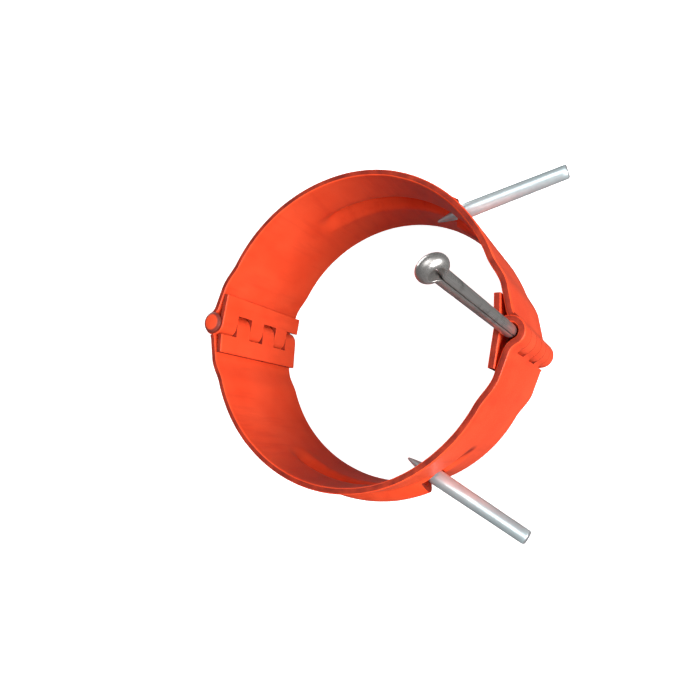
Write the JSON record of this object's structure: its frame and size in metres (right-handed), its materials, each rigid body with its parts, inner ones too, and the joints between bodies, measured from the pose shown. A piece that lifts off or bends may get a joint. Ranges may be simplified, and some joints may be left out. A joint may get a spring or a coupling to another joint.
{
  "type": "stop collar",
  "caption": "Hinged sheet-steel stop collar for well casing, with rolled knuckles, pressed nail channels, a split lock pin and pointed wedge nails.",
  "frame": {"origin": "on the casing axis, level with the collar's bottom rim", "axes": "+Z along the casing axis towards the rim the lock pin enters; +X towards the hinge that is locked with the split pin; +Y towards the middle of the upper band"},
  "size_m": [0.1731, 0.1674, 0.1426],
  "materials": {
    "painted_sheet": "orange-red gloss paint on rolled sheet steel",
    "painted_pin": "orange-red gloss paint, sprayed together with the bands",
    "bare_steel": "bare drawn wire, dull grey",
    "zinc_nail": "bright zinc-plated round bar"
  },
  "bodies": {
    "upper_half": {"upper_band": "painted_sheet", "hinge_pin": "painted_pin"},
    "lower_half": {"lower_band": "painted_sheet"},
    "lock_pin": {"lock_pin": "bare_steel"},
    "upper_nail": {"upper_nail": "zinc_nail"},
    "lower_nail": {"lower_nail": "zinc_nail"}
  },
  "joints": [
    {"name": "collar_hinge", "type": "hinge", "parent": "upper_half", "child": "lower_half", "pos_m": [-0.0766, 0, 0.0335], "axis": [0, 0, -1], "range_deg": [0, 140]},
    {"name": "upper_nail_slide", "type": "slide", "parent": "upper_half", "child": "upper_nail", "axis": [0.9511, 0.309, 0], "range_m": [-0.04, 0.015]},
    {"name": "lower_nail_slide", "type": "slide", "parent": "lower_half", "child": "lower_nail", "axis": [0.9135, -0.4067, 0], "range_m": [-0.04, 0.018]},
    {"name": "lock_pin_slide", "type": "slide", "parent": "lower_half", "child": "lock_pin", "axis": [-0.1126, 0.0818, 0.9903], "range_m": [0, 0.04]}
  ]
}
